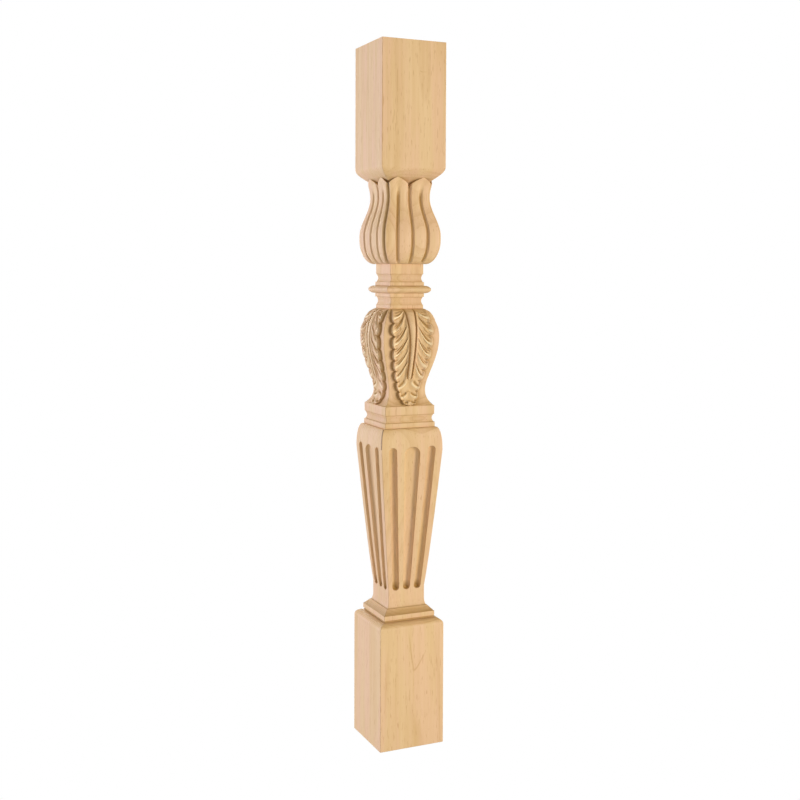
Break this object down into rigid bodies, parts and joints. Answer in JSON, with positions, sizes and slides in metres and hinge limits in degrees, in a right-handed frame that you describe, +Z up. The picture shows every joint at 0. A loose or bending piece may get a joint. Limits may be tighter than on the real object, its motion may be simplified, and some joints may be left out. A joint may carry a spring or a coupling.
{
  "type": "fluted post",
  "caption": "Square wooden post carved from one piece: plain end blocks, tapered fluted shaft, vase with acanthus leaves, square disc and a cup of pointed petals.",
  "frame": {"origin": "centre of the square underside, on the floor", "axes": "+Z up along the post; the four sides face +X, +Y, -X and -Y"},
  "size_m": [0.0888, 0.0888, 0.9017],
  "materials": {
    "raw_maple": "raw, sanded, unfinished"
  },
  "bodies": {
    "root": {"post": "raw_maple"}
  },
  "joints": []
}
